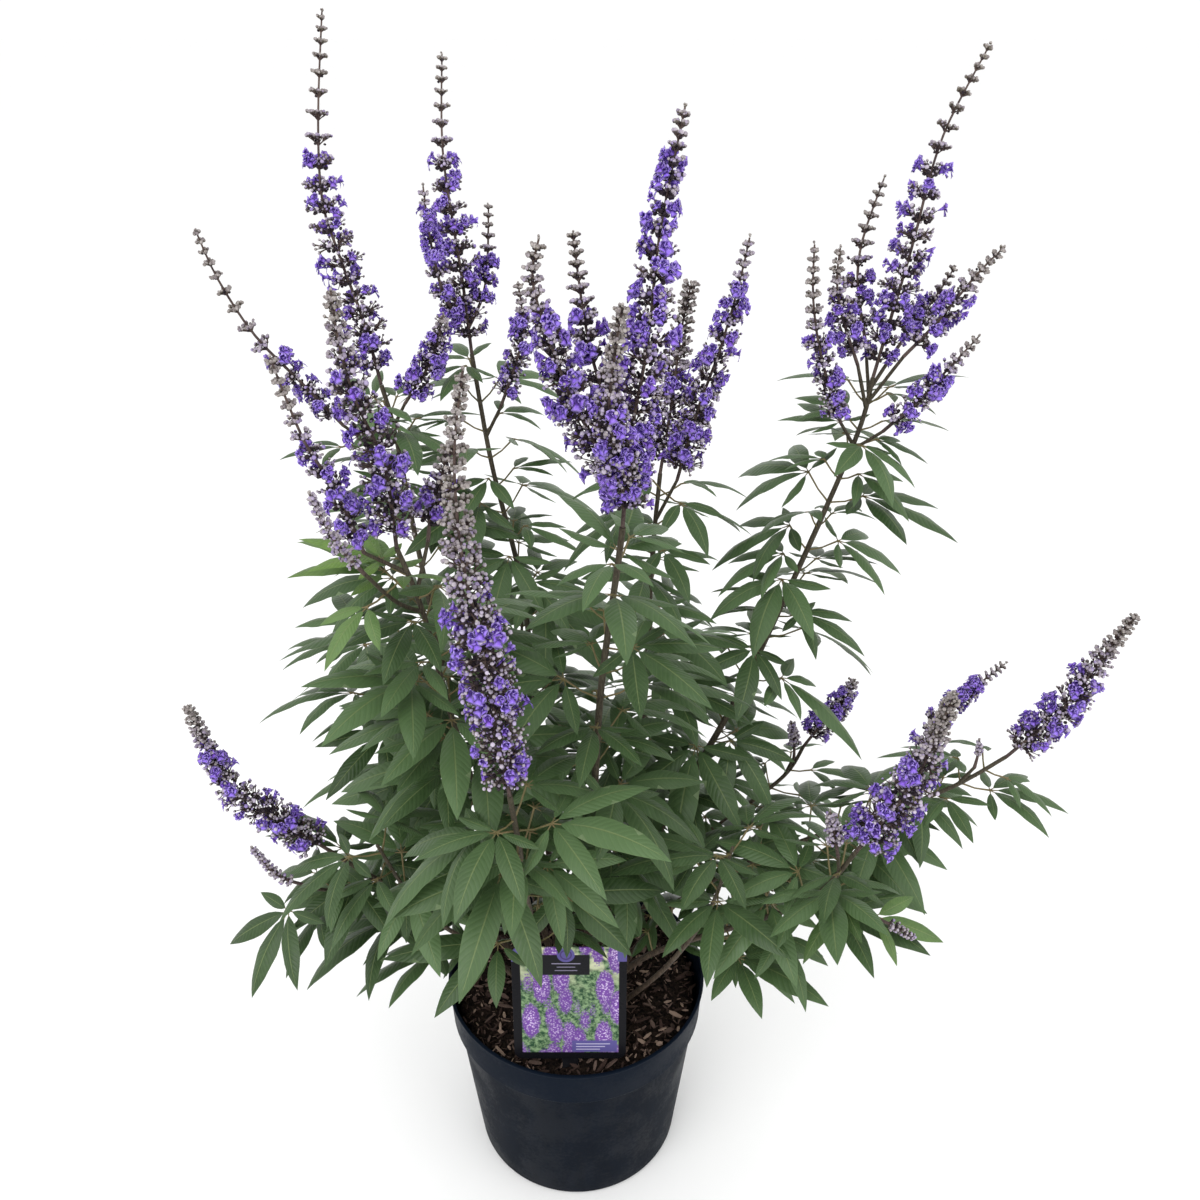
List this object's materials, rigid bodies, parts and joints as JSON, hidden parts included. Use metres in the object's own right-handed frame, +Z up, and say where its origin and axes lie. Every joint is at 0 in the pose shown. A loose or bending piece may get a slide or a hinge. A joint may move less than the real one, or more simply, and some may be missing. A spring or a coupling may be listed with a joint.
{
  "type": "potted chaste tree",
  "caption": "Flowering chaste tree with palmate leaves and upright violet flower spikes, in a round black nursery pot with a care label.",
  "frame": {"origin": "centre of the pot's underside, on the ground", "axes": "+Z up out of the pot, +X to the right of the front view with the label facing the viewer, +Y away from the viewer"},
  "size_m": [0.7942, 0.5674, 1.15],
  "materials": {
    "pot": "satin",
    "soil": "matte",
    "label_print": "gloss",
    "label_plastic": "satin",
    "leaf": "matte",
    "flower": "matte"
  },
  "bodies": {
    "root": {"label_card": "label_print", "label_stake": "label_plastic", "pot": "pot", "shoot_back_left": "leaf", "shoot_back_middle": "leaf", "shoot_far_right": "leaf", "shoot_fill_back": "leaf", "shoot_fill_back_right": "leaf", "shoot_fill_front_left": "leaf", "shoot_fill_front_right": "leaf", "shoot_fill_side_left": "leaf", "shoot_front": "leaf", "shoot_front_left": "leaf", "shoot_low_left": "leaf", "shoot_low_right": "leaf", "shoot_mid_right": "leaf", "shoot_middle": "leaf", "shoot_tall_left": "leaf", "shoot_tall_right": "leaf", "soil": "soil", "spike_back_left": "flower", "spike_back_left_side": "flower", "spike_back_middle": "flower", "spike_back_middle_side": "flower", "spike_far_left": "flower", "spike_far_right": "flower", "spike_far_right_bud": "flower", "spike_far_right_side": "flower", "spike_front": "flower", "spike_front_left": "flower", "spike_front_left_inner": "flower", "spike_front_left_side": "flower", "spike_front_left_young": "flower", "spike_low_left": "flower", "spike_low_left_bud": "flower", "spike_low_right": "flower", "spike_low_right_bud": "flower", "spike_low_right_low": "flower", "spike_mid_right": "flower", "spike_mid_right_bud": "flower", "spike_middle": "flower", "spike_tall_left": "flower", "spike_tall_left_side": "flower", "spike_tall_right": "flower", "spike_tall_right_a": "flower", "spike_tall_right_b": "flower", "spike_tall_right_c": "flower", "spike_tall_right_d": "flower", "spike_tall_right_e": "flower", "spike_tall_right_f": "flower"}
  },
  "joints": []
}
